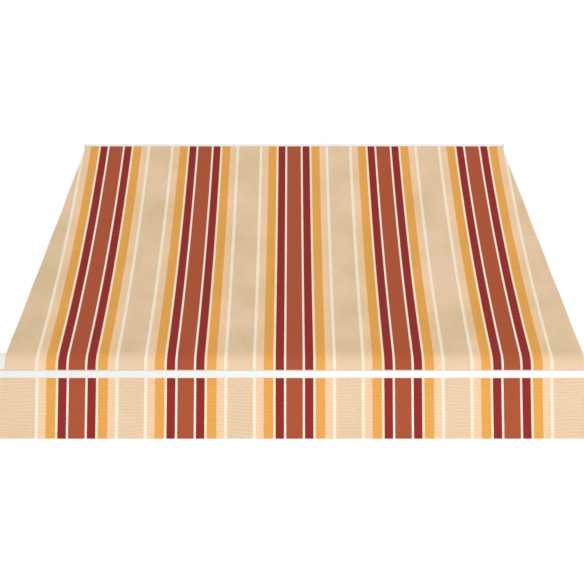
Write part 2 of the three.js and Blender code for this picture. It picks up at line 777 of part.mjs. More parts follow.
// Side is -1 on the left and 1 on the right. A piece with a head faces away from the middle.
function addArm(awning, side, name) {
  const facing = side > 0 ? 0 : Math.PI;
  const outward = (x) => side * x;

  const wall = nestedGroup(awning, side * armX, 0, -HINGE_DROP);
  add(wall, `wall_bracket_${name}`, wallBracket(), "casting");
  add(wall, `pivot_bolt_${name}`, pivotBolt(), "steel", 0, HINGE_OUT).rotation.z = facing;
  const stopLength = 2 * cheekOutside;
  const stop = prism(circle(point(0, 0), STOP_PIN_DIAMETER / 2, 12), stopLength);
  add(wall, `stop_pin_${name}`, stop, "steel", 0, HINGE_OUT + stopPin.x, stopPin.y);
  const knobX = -outward(cheekOutside + FIT);
  add(wall, `clamp_knob_${name}`, clampKnob(), "knob", knobX, HINGE_OUT).rotation.z = facing;

  const arm = nestedGroup(awning, side * armX, HINGE_OUT, -HINGE_DROP);
  add(arm, `arm_hub_${name}`, armEnd(ARM_HEIGHT / 2, PIVOT_DIAMETER, HUB_NECK), "casting");
  add(arm, `arm_tube_${name}`, armTube(), "profile", 0, HUB_NECK + FIT);
  const eye = armEnd(EYE_RADIUS, BAR_PIN_DIAMETER, EYE_NECK);
  add(arm, `arm_eye_${name}`, eye, "casting", 0, ARM_REACH).rotation.z = Math.PI;
  add(arm, `hub_rivet_${name}`, armRivet(), "steel", 0, HUB_NECK + FIT + rivetOut);
  add(arm, `eye_rivet_${name}`, armRivet(), "steel", 0, ARM_REACH - EYE_NECK - FIT - rivetOut);
  const hubWasher = washer(PIVOT_WASHER_DIAMETER, PIVOT_DIAMETER, WASHER_THICKNESS, 14);
  const eyeWasher = washer(BAR_WASHER_DIAMETER, BAR_PIN_DIAMETER, WASHER_THICKNESS, 14);
  ["inner", "outer"].forEach((place, i) => {
    const x = outward(i ? washerX : -washerX);
    add(arm, `hub_washer_${name}_${place}`, hubWasher, "nylon", x);
    add(arm, `eye_washer_${name}_${place}`, eyeWasher, "nylon", x, ARM_REACH);
  });

  const pin = nestedGroup(awning, side * armX, HINGE_OUT + ARM_REACH, -HINGE_DROP);
  add(pin, `bar_bracket_${name}`, barBracket(), "casting");
  add(pin, `bar_pin_${name}`, barPin(), "steel").rotation.z = facing;
  const clip = washer(CLIP_DIAMETER, BAR_PIN_DIAMETER - 2 * BAR_PIN_GROOVE, CLIP_THICKNESS - FIT, 12);
  add(pin, `pin_clip_${name}`, clip, "steel", -outward(earOutside + FIT + CLIP_THICKNESS / 2));
  const screwHead = BAR_PIN_BEHIND - 2 * FIT - BAR_BRACKET_PLATE;
  ["lower", "upper"].forEach((place, i) => {
    const up = (i - 0.5) * SCREW_SPACING;
    add(pin, `bar_screw_${name}_${place}`, barScrew(), "steel", 0, screwHead, up);
  });
}

function addRail(awning, run) {
  add(awning, "head_rail", headRail(run), "profile");
  const capX = railLength / 2 + FIT + RAIL_CAP_THICKNESS / 2;
  add(awning, "rail_cap_left", prism(railOutline(), RAIL_CAP_THICKNESS), "cap", -capX);
  add(awning, "rail_cap_right", prism(railOutline(), RAIL_CAP_THICKNESS), "cap", capX);
}

function addBar(awning) {
  add(awning, "front_bar", frontBar(), "profile");
  const capX = barLength / 2 + FIT;
  add(awning, "bar_cap_left", barCap(), "cap", -capX);
  const rightCap = barCap();
  rightCap.applyMatrix4(new THREE.Matrix4().makeScale(-1, 1, 1));
  add(awning, "bar_cap_right", turnedInsideOut(rightCap), "cap", capX);
}

// Mirroring turns each face round, and swapping two corners turns it back.
function turnedInsideOut(geometry) {
  const places = geometry.getAttribute("position");
  for (let i = 0; i < places.count; i += 3) {
    const second = new THREE.Vector3().fromBufferAttribute(places, i + 1);
    const third = new THREE.Vector3().fromBufferAttribute(places, i + 2);
    places.setXYZ(i + 1, third.x, third.y, third.z);
    places.setXYZ(i + 2, second.x, second.y, second.z);
  }
  geometry.computeVertexNormals();
  return geometry;
}

function addKeder(awning, name, centre, length) {
  const rod = prism(circle(point(0, 0), keder, 10), length);
  add(awning, name, rod, "keder", 0, centre.x, centre.y);
}

function addCloth(awning, run) {
  add(awning, "canopy", cloth(canopyLine(run)), "cloth");
  addKeder(awning, "canopy_head_keder", kederSeat(railChannel, -run.headAngle), HEAD_WIDTH);
  addKeder(awning, "canopy_front_keder", kederSeat(canopyChannel, 0), FRONT_WIDTH);
  add(awning, "valance", cloth(valanceLine()), "cloth");
  addKeder(awning, "valance_keder", kederSeat(valanceChannel, -90), valanceWidth);
}

const awning = new THREE.Group();
const run = canopyRun();
addRail(awning, run);
addCloth(awning, run);
addBar(awning);
addArm(awning, -1, "left");
addArm(awning, 1, "right");

export default awning;
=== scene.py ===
import json
import math

import bmesh
import bpy
import numpy as np
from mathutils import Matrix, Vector, noise

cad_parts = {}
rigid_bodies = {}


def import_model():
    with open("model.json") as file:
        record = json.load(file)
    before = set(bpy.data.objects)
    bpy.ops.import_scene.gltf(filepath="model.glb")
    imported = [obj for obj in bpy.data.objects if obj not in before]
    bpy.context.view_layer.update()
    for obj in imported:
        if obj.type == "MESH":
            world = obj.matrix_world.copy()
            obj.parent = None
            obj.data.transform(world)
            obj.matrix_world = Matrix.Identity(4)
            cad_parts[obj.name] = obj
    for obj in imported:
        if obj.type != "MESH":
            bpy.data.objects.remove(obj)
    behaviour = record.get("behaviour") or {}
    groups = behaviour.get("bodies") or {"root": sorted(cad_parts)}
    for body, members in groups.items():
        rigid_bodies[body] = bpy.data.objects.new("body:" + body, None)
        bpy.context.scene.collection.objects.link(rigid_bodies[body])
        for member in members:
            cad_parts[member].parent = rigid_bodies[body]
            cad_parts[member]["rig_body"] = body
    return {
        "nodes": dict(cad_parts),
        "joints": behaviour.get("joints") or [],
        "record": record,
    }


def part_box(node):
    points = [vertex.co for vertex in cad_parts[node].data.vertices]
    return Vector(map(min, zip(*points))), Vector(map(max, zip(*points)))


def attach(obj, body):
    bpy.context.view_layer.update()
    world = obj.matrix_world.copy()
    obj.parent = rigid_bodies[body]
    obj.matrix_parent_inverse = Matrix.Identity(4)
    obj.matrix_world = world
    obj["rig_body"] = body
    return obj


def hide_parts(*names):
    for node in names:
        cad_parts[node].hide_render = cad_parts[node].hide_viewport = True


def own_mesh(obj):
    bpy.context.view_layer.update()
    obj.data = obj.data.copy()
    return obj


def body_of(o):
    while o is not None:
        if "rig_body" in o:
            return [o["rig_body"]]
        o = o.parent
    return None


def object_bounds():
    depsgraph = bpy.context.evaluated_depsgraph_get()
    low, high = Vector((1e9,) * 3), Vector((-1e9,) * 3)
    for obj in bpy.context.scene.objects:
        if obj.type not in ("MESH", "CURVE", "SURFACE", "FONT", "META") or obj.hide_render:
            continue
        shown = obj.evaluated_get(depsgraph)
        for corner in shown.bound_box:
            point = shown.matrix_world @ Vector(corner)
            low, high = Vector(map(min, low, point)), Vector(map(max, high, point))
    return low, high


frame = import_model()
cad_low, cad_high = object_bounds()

# A striped window awning: the woven canopy runs from the wall rail over the nose of the front bar, and
# a valance hangs below. Sizes are in metres and in the model's own frame: +X right, +Y to the wall, +Z up.
# A point of a section is (out from the wall, up).

# Cloth
HEAD_WIDTH = 1.875
FRONT_WIDTH = 2.132
EDGE_BOW = 0.016  # of each side edge, outward at mid slope
CANOPY_SAG = 0.040
CLOTH_THICKNESS = 0.0006
HEM_WIDTH = 0.025
HEM_STEP = 0.0015  # width over which the turned-under layer ends
STITCH_IN = 0.021  # stitch line from the hem's fold
STITCH_PITCH = 0.0046
STITCH_LENGTH = 0.0034
THREAD_RADIUS = 0.00028
STITCH_PULL = 0.00022  # how deep a stitch line draws the cloth in
STITCH_PULL_REACH = 0.0011
VALANCE_DROP = 0.222

# Rail and bar
CHANNEL_RING = 0.0065  # outside radius of a cord channel
CHANNEL_SEAT = 0.0045  # from a channel's middle to where the cloth starts, at its slit
RAIL_PLATE = 0.003
BAR_NOSE_RADIUS = 0.075
BAR_NOSE_RISE = 0.0056  # from the canopy's slit to where the nose starts to curve back
BAR_FACE = 0.029  # height of the bar's front below the canopy's slit
SLIT = 0.0024
CLOTH_OVER_BAR = 0.0012  # middle of the cloth above the bar's surface
TUCK_RADIUS = 0.0010  # of the cloth's turn into the slit

# The stripes of half a repeat, from the middle of the terracotta to the middle of the beige
HALF_REPEAT = [
    ("#b1583b", 0.030),  # terracotta
    ("#fff3e8", 0.008),  # white
    ("#96322f", 0.031),  # wine red
    ("#ffedd0", 0.009),  # cream
    ("#efac59", 0.035),  # ochre
    ("#fbd5af", 0.028),  # sand
    ("#fff0dc", 0.012),  # ivory
    ("#efd1b0", 0.047),  # beige
]
HALF_REPEATS_A_SIDE = 5  # out to where the last beige runs on to the hem
# The film in this tint is dust and also painted shade, which darkens the canopy's slope towards the bar.
FILM_AND_SHADE_TINT = (0.86, 0.875, 0.775, 1.0)  # what a film of dust leaves of each primary


# Sections

def heading(angle):
    """The direction at an angle up from straight out."""
    return np.array([math.cos(angle), math.sin(angle)])


def ease(t):
    """Goes smoothly from 0 to 1 while t does."""
    t = min(max(t, 0.0), 1.0)
    return t * t * (3 - 2 * t)


_, rail_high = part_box("head_rail")
bar_low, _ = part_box("front_bar")
rail_channel = np.array([RAIL_PLATE + CHANNEL_RING, rail_high.z - CHANNEL_RING])
bar_front = -bar_low.y
bar_foot = bar_low.z
nose = np.array([bar_front - BAR_NOSE_RADIUS, bar_foot + BAR_FACE + SLIT + BAR_NOSE_RISE])
over_nose = BAR_NOSE_RADIUS + CLOTH_OVER_BAR
canopy_channel = np.array([bar_front - CHANNEL_RING, bar_foot + BAR_FACE + SLIT / 2])


def canopy_run():
    """The canopy's middle line, in two lengths: the slope, and the wrap over the nose into its slit."""
    slope_rows, nose_steps, face_steps, tuck_steps = 104, 20, 5, 4
    # The sag turns both ends of the slope, so its ends and their angles are found together, in a few passes.
    head_angle = front_angle = math.radians(45)
    for _ in range(12):
        head = rail_channel + CHANNEL_RING * heading(-head_angle)
        front = nose + over_nose * heading(math.pi / 2 - front_angle)
        chord = front - head
        slope_angle = math.atan2(-chord[1], chord[0])
        bend = math.atan(4 * CANOPY_SAG / np.linalg.norm(chord))
        head_angle, front_angle = slope_angle + bend, slope_angle - bend
    below = heading(-slope_angle - math.pi / 2)
    points = [(rail_channel + CHANNEL_SEAT * heading(-head_angle), 0.0)]
    for row in range(slope_rows + 1):
        t = row / slope_rows
        points.append((head + t * chord + CANOPY_SAG * 4 * t * (1 - t) * below, t))
    face_line = nose[0] + over_nose
    tuck_top = canopy_channel[1] + TUCK_RADIUS
    corner = np.array([face_line - TUCK_RADIUS, tuck_top])
    front_run = [
        nose + over_nose * heading((math.pi / 2 - front_angle) * (1 - i / nose_steps))
        for i in range(nose_steps + 1)
    ]
    front_run += [np.array([face_line, up]) for up in np.linspace(nose[1], tuck_top, face_steps + 1)[1:]]
    front_run += [
        corner + TUCK_RADIUS * heading(-math.pi / 2 * i / tuck_steps) for i in range(1, tuck_steps + 1)
    ]
    front_run.append(canopy_channel + np.array([CHANNEL_SEAT, 0]))
    return points, [(at, 1.0) for at in front_run]


class Line:
    """A section's points with their normals, their length along the cloth and their share of the slope.
    Start is the length at the first point, and lead its direction where another line goes before."""

    def __init__(self, points, start=0.0, lead=None):
        self.at = np.array([p for p, _ in points])
        self.share = np.array([t for _, t in points])
        steps = np.linalg.norm(np.diff(self.at, axis=0), axis=1)
        self.along = start + np.concatenate([[0.0], np.cumsum(steps)])
        ways = np.gradient(self.at, self.along, axis=0)
        if lead is not None:
            ways[0] = lead
        ways /= np.linalg.norm(ways, axis=1)[:, None]
        self.way = ways
        self.normal = np.stack([-ways[:, 1], ways[:, 0]], axis=1)

    def length(self):
        return self.along[-1] - self.along[0]


slope_points, wrap_points = canopy_run()
slope = Line(slope_points)
wrap = Line(wrap_points, start=slope.along[-1], lead=slope.way[-1])


# Making meshes

def new_piece(name, vertices, faces, body, slot, material, sharp=35):
    """A smooth mesh that rides on a body. Its edges are sharp where they turn by more than an angle."""
    mesh = bpy.data.meshes.new(name)
    mesh.from_pydata([tuple(v) for v in vertices], [], faces)
    mesh.validate()
    mesh.polygons.foreach_set("use_smooth", [True] * len(mesh.polygons))
    mesh.set_sharp_from_angle(angle=math.radians(sharp))
    mesh.materials.append(material)
    piece = bpy.data.objects.new(name, mesh)
    bpy.context.scene.collection.objects.link(piece)
    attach(piece, body)
    return piece


def hem_weight(inside):
    """1 where the cloth is turned under, 0 past the hem's step."""
    return 1 - ease((inside - HEM_WIDTH) / HEM_STEP)


# How far in from a hem's fold the vertices of a cloth lie, and where its even columns start
HEM_COLUMNS = [0, 0.0008, 0.006, 0.013, 0.0185, 0.0197, STITCH_IN, 0.0223, 0.0235, HEM_WIDTH, 0.0258, 0.0266]
INNER_EDGE = 0.030


def columns(half, count):
    """The x of each vertex across a row, close together at the hems."""
    sides = [half - inside for inside in HEM_COLUMNS]
    middle = np.linspace(-1, 1, count) * (half - INNER_EDGE)
    return np.concatenate([-np.array(sides), middle, sides[::-1]])


def stitch_dip(inside):
    """The cloth is pulled in a little along a stitch line."""
    return -STITCH_PULL * math.exp(-(((inside - STITCH_IN) / STITCH_PULL_REACH) ** 2))


def cloth_piece(name, line, half_at, ripple, count, body, cloth, foot_hem=False):
    """A closed sheet along a section line. Its top faces the line's normal and its hems lie under it.
    Count is how many vertices cross it between the hems."""
    rows = len(line.at)
    top, under, lay = [], [], []
    for row in range(rows):
        half = half_at(line.share[row])
        for x in columns(half, count):
            inside = half - abs(x)
            if foot_hem:
                inside = min(inside, line.along[-1] - line.along[row])
            lift = ripple(x, line.along[row], line.share[row], half) + stitch_dip(inside)
            for side, offset in (
                (top, CLOTH_THICKNESS / 2),
                (under, -CLOTH_THICKNESS * (0.5 + hem_weight(inside))),
            ):
                out, up = line.at[row] + line.normal[row] * (lift + offset)
                side.append((x, -out, up))
            lay.append((x, line.along[row]))
    width = len(top) // rows
    shift = len(top)
    faces = []
    for row in range(rows - 1):
        for column in range(width - 1):
            a = row * width + column
            b, c, d = a + 1, a + width + 1, a + width
            faces.append((a, d, c, b))
            faces.append((shift + a, shift + b, shift + c, shift + d))
        left, right = row * width, row * width + width - 1
        faces.append((left, shift + left, shift + left + width, left + width))
        faces.append((right, right + width, shift + right + width, shift + right))
    last = (rows - 1) * width
    for column in range(width - 1):
        faces.append((column, column + 1, shift + column + 1, shift + column))
        a = last + column
        faces.append((a, shift + a, shift + a + 1, a + 1))
    piece = new_piece(name, top + under, faces, body, "striped_cloth", cloth, sharp=60)
    set_lay(piece, lay + lay)
    return piece


def set_lay(piece, spots, layer_name="cloth_lay"):
    """Writes each vertex's place on the flat cloth, in metres, as the layer that the stripes read."""
    layer = piece.data.uv_layers.new(name=layer_name)
    corners = np.zeros(len(piece.data.loops), dtype=int)
    piece.data.loops.foreach_get("vertex_index", corners)
    layer.data.foreach_set("uv", np.array(spots)[corners].ravel())


def stitches(name, seams, body, cloth):
    """Seams of short thread dashes, dyed to the stripe they cross. A dash is its middle, way and normal
    in space, and its place on the flat cloth. Its stations are (place along it, girth, height above the
    cloth), as shares of the stitch length and of the thread's radius."""
    vertices, faces, spots = [], [], []
    sides = 6
    ring = [(math.cos(a), math.sin(a)) for a in np.linspace(0, 2 * math.pi, sides + 1)[:-1]]
    stations = [(-0.5, 0.35, -0.6), (-0.36, 1.0, 0.25), (0.36, 1.0, 0.25), (0.5, 0.35, -0.6)]
    for middle, way, normal, spot in seams:
        aside = way.cross(normal)
        first = len(vertices)
        for place, girth, lift in stations:
            centre = middle + way * (place * STITCH_LENGTH) + normal * (lift * THREAD_RADIUS)
            for cosine, sine in ring:
                vertices.append(centre + (aside * cosine + normal * sine) * (girth * THREAD_RADIUS))
                spots.append(spot)
        last = first + (len(stations) - 1) * sides
        for start in range(first, last, sides):
            for i in range(sides):
                a, b = start + i, start + (i + 1) % sides
                faces.append((a, b, b + sides, a + sides))
        faces.append(tuple(first + i for i in reversed(range(sides))))
        faces.append(tuple(last + i for i in range(sides)))
    piece = new_piece(name, vertices, faces, body, "striped_cloth", cloth, sharp=80)
    set_lay(piece, spots)
    return piece


def seam_along(line, half_at, ripple, side, start, end):
    """Dashes down one side hem."""
    dashes = []
    step = 0.01
    for along in np.arange(start, end, STITCH_PITCH):
        share = np.interp(along, line.along, line.share)
        half = half_at(share)
        x = side * (half - STITCH_IN)
        ahead = side * (half_at(np.interp(along + step, line.along, line.share)) - STITCH_IN)
        at = np.array([np.interp(along, line.along, line.at[:, i]) for i in range(2)])
        way = np.array([np.interp(along, line.along, line.way[:, i]) for i in range(2)])
        normal = np.array([-way[1], way[0]])
        lift = ripple(x, along, share, half) + stitch_dip(STITCH_IN) + CLOTH_THICKNESS / 2
        out, up = at + normal * lift
        middle = Vector((x, -out, up))
        direction = Vector(((ahead - x) / step, -way[0], way[1])).normalized()
        face = Vector((0, -normal[0], normal[1]))
        face = (face - direction * face.dot(direction)).normalized()
        dashes.append((middle, direction, face, (x, along)))
    return dashes


def side_seams(line, half_at, ripple, start, end):
    """Dashes down both side hems."""
    return [dash for side in (-1, 1) for dash in seam_along(line, half_at, ripple, side, start, end)]


def foot_seam(line, half_at, ripple, inside, margin):
    """Dashes along the foot hem."""
    along = line.along[-1] - inside
    half = half_at(1.0)
    dashes = []
    step = 0.01
    at = np.array([np.interp(along, line.along, line.at[:, i]) for i in range(2)])
    for x in np.arange(-half + margin, half - margin, STITCH_PITCH):
        lift = ripple(x, along, 1.0, half) + stitch_dip(STITCH_IN) + CLOTH_THICKNESS / 2
        rise = ripple(x + step / 2, along, 1.0, half) - ripple(x - step / 2, along, 1.0, half)
        direction = Vector((1, -rise / step, 0)).normalized()
        face = Vector((direction.y, -direction.x, 0))
        dashes.append((Vector((x, -at[0] - lift, at[1])), direction, face, (x, along)))
    return dashes


# Materials

def linear(hex_colour):
    """An sRGB hex colour as the linear RGBA that a shader takes."""
    values = [int(hex_colour[i:i + 2], 16) / 255 for i in (1, 3, 5)]
    return tuple(v / 12.92 if v <= 0.04045 else ((v + 0.055) / 1.055) ** 2.4 for v in values) + (1.0,)


def node(tree, kind, links=(), **settings):
    """Adds a node. Links gives its inputs by name or number, each a value or another node's output."""
    made = tree.nodes.new(kind)
    for key, value in settings.items():
        setattr(made, key, value)
    for key, value in dict(links).items():
        if isinstance(value, bpy.types.NodeSocket):
            tree.links.new(value, made.inputs[key])
        else:
            made.inputs[key].default_value = value
    return made


def new_material(name, constants):
    """A material with one Principled shader, whose constant inputs are set on its own sockets."""
    material = bpy.data.materials.new(name)
    material.use_nodes = True
    tree = material.node_tree
    shader = tree.nodes["Principled BSDF"]
    for key, value in constants.items():
        shader.inputs[key].default_value = value
    return material, tree, shader


RIB_PITCH = 0.012  # of the drawn weft ribs


def dyed_stripes(tree, lay, across):
    """The colour of the stripes. Their edges stray by a thread or two every few millimetres, and the last
    beige on each side runs on to the hem."""
    half_repeat = sum(width for _, width in HALF_REPEAT)
    last = HALF_REPEATS_A_SIDE * half_repeat
    kept = node(tree, "ShaderNodeClamp", {"Value": across, "Min": -last, "Max": last})
    fuzz = node(tree, "ShaderNodeTexNoise", {"Vector": lay, "Scale": 420.0, "Detail": 1.0})
    strayed = node(
        tree, "ShaderNodeMath", {0: fuzz.outputs["Fac"], 1: 0.0008, 2: kept.outputs[0]},
        operation="MULTIPLY_ADD",
    )
    folded = node(tree, "ShaderNodeMath", {0: strayed.outputs[0], 1: half_repeat}, operation="PINGPONG")
    share = node(tree, "ShaderNodeMath", {0: folded.outputs[0], 1: half_repeat}, operation="DIVIDE")
    stripes = node(tree, "ShaderNodeValToRGB", {"Fac": share.outputs[0]})
    bands = stripes.color_ramp
    bands.interpolation = "CONSTANT"
    bands.elements.remove(bands.elements[1])
    edge = 0.0
    for i, (colour, width) in enumerate(HALF_REPEAT):
        band = bands.elements[0] if i == 0 else bands.elements.new(edge / half_repeat)
        band.position = edge / half_repeat
        band.color = linear(colour)
        edge += width
    return stripes.outputs["Color"]


def weft_ribs(tree, lay, down):
    """Waves from -1 to 1, one for each rib across the cloth. The ribs wander a little over 300 mm."""
    drift = node(tree, "ShaderNodeTexNoise", {"Vector": lay, "Scale": 3.2, "Detail": 1.5})
    way = node(
        tree, "ShaderNodeMath", {0: drift.outputs["Fac"], 1: 0.06, 2: down}, operation="MULTIPLY_ADD"
    )
    turns = 2 * math.pi / RIB_PITCH
    turn = node(tree, "ShaderNodeMath", {0: way.outputs[0], 1: turns}, operation="MULTIPLY")
    return node(tree, "ShaderNodeMath", {0: turn.outputs[0]}, operation="SINE").outputs[0]


def weave_grain(tree, lay):
    """The uneven surface of the weave, from 0 to 1, in spots of 6 by 2.4 mm."""
    close = node(tree, "ShaderNodeMapping", {"Vector": lay, "Scale": (160.0, 420.0, 1.0)})
    grain = node(
        tree, "ShaderNodeTexNoise",
        {"Vector": close.outputs[0], "Scale": 1.0, "Detail": 3.0, "Roughness": 0.7},
    )
    return grain.outputs["Fac"]


def yarn_shade(tree, lay, pale, rib, grain, rib_depth):
    """How light the yarn lies, by ribs, grain, slubs and flecks. Pale yarn shows ribs and slubs most."""
    relief = node(tree, "ShaderNodeMath", {0: pale, 1: rib_depth}, operation="MULTIPLY")
    rib_shade = node(
        tree, "ShaderNodeMath", {0: rib, 1: relief.outputs[0], 2: 1.0}, operation="MULTIPLY_ADD"
    )
    grain_shade = node(tree, "ShaderNodeMapRange", {"Value": grain, "To Min": 0.97, "To Max": 1.13})

    # Slubs are short lengths of thicker weft, 45 by 4 mm.
    drawn = node(tree, "ShaderNodeMapping", {"Vector": lay, "Scale": (22.0, 230.0, 1.0)})
    slub = node(tree, "ShaderNodeTexNoise", {"Vector": drawn.outputs[0], "Scale": 1.0, "Detail": 1.0})
    slub_rise = node(
        tree, "ShaderNodeMapRange",
        {"Value": slub.outputs["Fac"], "To Min": -2.5 * rib_depth, "To Max": 2.5 * rib_depth},
    )
    slub_shade = node(
        tree, "ShaderNodeMath", {0: slub_rise.outputs[0], 1: pale, 2: 1.0}, operation="MULTIPLY_ADD"
    )

    # Flecks are where the yarn took the dye unevenly: 1 or 2 mm long, drawn at 9 by 5 mm to show from here.
    spun = node(tree, "ShaderNodeMapping", {"Vector": lay, "Scale": (110.0, 190.0, 1.0)})
    fleck = node(tree, "ShaderNodeTexNoise", {"Vector": spun.outputs[0], "Scale": 1.0, "Detail": 1.0})
    fleck_shade = node(
        tree, "ShaderNodeMapRange", {"Value": fleck.outputs["Fac"], "To Min": 0.90, "To Max": 1.10}
    )

    shade = rib_shade.outputs[0]
    for part in (grain_shade, slub_shade, fleck_shade):
        shade = node(tree, "ShaderNodeMath", {0: shade, 1: part.outputs[0]}, operation="MULTIPLY").outputs[0]
    return shade


def soiled_and_shaded(tree, lay, down, pale, colour, soiling_and_shade, painted_light_from):
    """The colour under soft clouds of rain and dust, about 240 mm across. They are stronger further down,
    which on the canopy is painted shade towards the foot of its slope, show on pale yarn and take most from
    the blue. The fine white, cream and ivory lines shed more than half of them, and past a given distance
    down the cloth they fade out, which on the canopy paints the light on the wrap over the bar's nose."""
    cloud = node(
        tree, "ShaderNodeTexNoise", {"Vector": lay, "Scale": 4.2, "Detail": 3.0, "Roughness": 0.5}
    )
    cover = node(
        tree, "ShaderNodeMapRange",
        {"Value": cloud.outputs["Fac"], "From Min": 0.34, "From Max": 0.68, "To Max": soiling_and_shade},
    )
    # It grows further down: painted shade towards the foot of the canopy's slope, dirt towards the valance's
    # foot.
    dirt_and_shade_down = node(
        tree, "ShaderNodeMapRange", {"Value": down, "From Max": painted_light_from, "To Min": 0.8, "To Max": 1.35}
    )
    # Painted light: past this point the film fades out, so the canopy's wrap over the bar's nose is lighter.
    painted_light_to = painted_light_from + 0.08
    kept_before_painted_light = node(
        tree, "ShaderNodeMapRange",
        {"Value": down, "From Min": painted_light_from, "From Max": painted_light_to, "To Min": 1.0, "To Max": 0.1},
        interpolation_type="SMOOTHSTEP",
    )
    held = node(
        tree, "ShaderNodeMapRange",
        {"Value": pale, "From Min": 0.68, "From Max": 0.84, "To Min": 1.0, "To Max": 0.45},
    )
    film_and_shade = cover.outputs[0]
    for share in (dirt_and_shade_down.outputs[0], kept_before_painted_light.outputs[0], held.outputs[0], pale):
        film_and_shade = node(tree, "ShaderNodeMath", {0: film_and_shade, 1: share}, operation="MULTIPLY").outputs[0]
    film_and_shade = node(tree, "ShaderNodeClamp", {"Value": film_and_shade}).outputs[0]
    dusted_and_shaded = node(
        tree, "ShaderNodeMix", {0: film_and_shade, 6: colour, 7: FILM_AND_SHADE_TINT}, data_type="RGBA", blend_type="MULTIPLY"
    )
    return dusted_and_shaded.outputs[2]


def make_woven_acrylic(name, rib_depth, soiling_and_shade, painted_light_from):
    """Solution-dyed acrylic canvas, woven in stripes: matt, with a soft bloom, crisp stripe edges and a
    weft that shows as fine cross ribs on the pale stripes. The real threads are 0.45 mm apart, so the
    ribs are drawn at 12 mm, which is what still shows at this distance, over a grain of 2.4 mm. The
    soiling sets how far rain and dust cloud it, together with painted shade, and the last argument how
    far down the cloth the clouding fades out, which paints light on the wrap over the bar's nose."""
    material, tree, shader = new_material(
        name,
        {"Roughness": 0.9, "Sheen Weight": 0.02, "Sheen Roughness": 0.5, "Specular IOR Level": 0.07},
    )
    lay = node(tree, "ShaderNodeUVMap", uv_map="cloth_lay").outputs["UV"]
    place = node(tree, "ShaderNodeSeparateXYZ", {0: lay})
    down = place.outputs["Y"]
    dyed = dyed_stripes(tree, lay, place.outputs["X"])
    pale = node(tree, "ShaderNodeSeparateColor", {"Color": dyed}).outputs["Green"]
    rib = weft_ribs(tree, lay, down)
    grain = weave_grain(tree, lay)
    shade = yarn_shade(tree, lay, pale, rib, grain, rib_depth)
    woven = node(tree, "ShaderNodeVectorMath", {0: dyed, "Scale": shade}, operation="SCALE").outputs[0]
    seen = soiled_and_shaded(tree, lay, down, pale, woven, soiling_and_shade, painted_light_from)
    tree.links.new(seen, shader.inputs["Base Color"])
    height = node(tree, "ShaderNodeMath", {0: rib, 1: 0.2, 2: grain}, operation="MULTIPLY_ADD")
    bump = node(tree, "ShaderNodeBump", {"Strength": 0.25, "Distance": 0.0006, "Height": height.outputs[0]})
    tree.links.new(bump.outputs[0], shader.inputs["Normal"])
    return material


def make_coat_or_moulding(name, colour, dust, grain_size, relief, mottle, constants):
    """A coated, cast or moulded surface of one colour, with a fine grain of the given size in metres.
    Relief is the bump's height, mottle how much the colour wanders, and dust the colour that settles on
    what faces up. The gloss wanders in clouds of 70 mm."""
    material, tree, shader = new_material(name, constants)
    lie = node(tree, "ShaderNodeTexCoord")
    spot = lie.outputs["Object"]
    grain = node(tree, "ShaderNodeTexNoise", {"Vector": spot, "Scale": 1 / grain_size, "Detail": 2.0})
    cloud = node(
        tree, "ShaderNodeTexNoise", {"Vector": spot, "Scale": 14.0, "Detail": 4.0, "Roughness": 0.6}
    )
    wander = node(
        tree, "ShaderNodeMath", {0: grain.outputs["Fac"], 1: 0.6, 2: cloud.outputs["Fac"]},
        operation="MULTIPLY_ADD",
    )
    shade = node(
        tree, "ShaderNodeMapRange",
        {"Value": wander.outputs[0], "From Max": 1.6, "To Min": 1 - mottle / 2, "To Max": 1 + mottle / 2},
    )
    tint = node(
        tree, "ShaderNodeVectorMath", {0: linear(colour)[:3], "Scale": shade.outputs[0]}, operation="SCALE"
    )
    facing = node(tree, "ShaderNodeSeparateXYZ", {0: lie.outputs["Normal"]})
    upward = node(
        tree, "ShaderNodeMapRange",
        {"Value": facing.outputs["Z"], "From Min": 0.35, "From Max": 1.0, "To Max": 0.6},
    )
    settled = node(
        tree, "ShaderNodeMath", {0: upward.outputs[0], 1: cloud.outputs["Fac"]}, operation="MULTIPLY"
    )
    dusty = node(
        tree, "ShaderNodeMix", {0: settled.outputs[0], 6: tint.outputs[0], 7: linear(dust)}, data_type="RGBA"
    )
    tree.links.new(dusty.outputs[2], shader.inputs["Base Color"])
    gloss = constants["Roughness"]
    rough = node(
        tree, "ShaderNodeMapRange",
        {"Value": cloud.outputs["Fac"], "To Min": gloss - 0.12, "To Max": gloss + 0.12},
    )
    tree.links.new(rough.outputs[0], shader.inputs["Roughness"])
    bump = node(
        tree, "ShaderNodeBump", {"Strength": 0.5, "Distance": relief, "Height": grain.outputs["Fac"]}
    )
    tree.links.new(bump.outputs[0], shader.inputs["Normal"])
    return material


